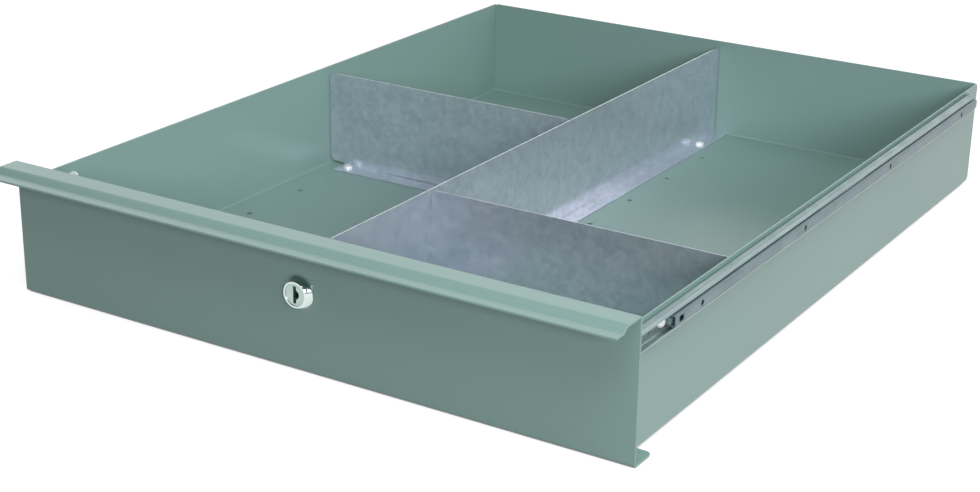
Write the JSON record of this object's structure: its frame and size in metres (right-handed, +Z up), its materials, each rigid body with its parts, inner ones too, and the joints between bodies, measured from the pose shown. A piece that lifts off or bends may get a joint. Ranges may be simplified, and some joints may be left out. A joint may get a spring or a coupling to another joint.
{
  "type": "workbench drawer",
  "caption": "Shallow sheet steel workbench drawer with an ogee grip lip, a cam lock, screwed-in dividers and ball slides along both sides.",
  "frame": {"origin": "middle of the drawer's box, at the underside of the front panel's bottom flange", "axes": "+X to the right seen from the front, +Y from the front to the back, +Z up"},
  "size_m": [0.5, 0.659, 0.1],
  "materials": {
    "powder_coat": "smooth grey-green powder coat",
    "galvanised_sheet": "galvanised, fine spangle",
    "zinc_plated": "zinc plated",
    "zinc_screws": "bright zinc plated",
    "lock_chrome": "polished chrome",
    "lock_satin": "satin nickel",
    "lock_brass": "stamped brass",
    "cage_steel": "bright sheet",
    "ball_steel": "polished",
    "bumper_rubber": "soft grey"
  },
  "bodies": {
    "runners": {"cabinet_rail_left": "zinc_plated", "cabinet_rail_right": "zinc_plated"},
    "drawer": {"front_panel": "powder_coat", "drawer_tray": "powder_coat", "long_divider": "galvanised_sheet", "cross_divider_left": "galvanised_sheet", "cross_divider_right": "galvanised_sheet", "divider_screws": "zinc_screws", "lock_housing": "lock_chrome", "lock_washer": "zinc_plated", "lock_nut": "lock_chrome", "drawer_channel_left": "zinc_plated", "front_bumper_left": "bumper_rubber", "channel_screw_left": "zinc_screws", "channel_nut_left": "zinc_screws", "drawer_channel_right": "zinc_plated", "front_bumper_right": "bumper_rubber", "channel_screw_right": "zinc_screws", "channel_nut_right": "zinc_screws"},
    "ball_cage_left": {"ball_cage_left": "cage_steel", "bearing_balls_left": "ball_steel"},
    "ball_cage_right": {"ball_cage_right": "cage_steel", "bearing_balls_right": "ball_steel"},
    "lock_core": {"lock_plug": "lock_satin", "lock_wafers": "lock_brass", "lock_cam": "zinc_plated", "cam_screw": "zinc_screws"}
  },
  "joints": [
    {"name": "drawer_slide", "type": "slide", "parent": "runners", "child": "drawer", "axis": [0, -1, 0], "range_m": [0, 0.45]},
    {"name": "ball_cage_left_roll", "type": "slide", "parent": "runners", "child": "ball_cage_left", "axis": [0, -1, 0], "range_m": [0, 0.225]},
    {"name": "ball_cage_right_roll", "type": "slide", "parent": "runners", "child": "ball_cage_right", "axis": [0, -1, 0], "range_m": [0, 0.225]},
    {"name": "lock_turn", "type": "hinge", "parent": "drawer", "child": "lock_core", "pos_m": [0, -0.2985, 0.0566], "axis": [0, 1, 0], "range_deg": [0, 90]}
  ],
  "couplings": [
    {"joint": "ball_cage_left_roll", "follows": "drawer_slide", "ratio": 0.5},
    {"joint": "ball_cage_right_roll", "follows": "drawer_slide", "ratio": 0.5}
  ]
}
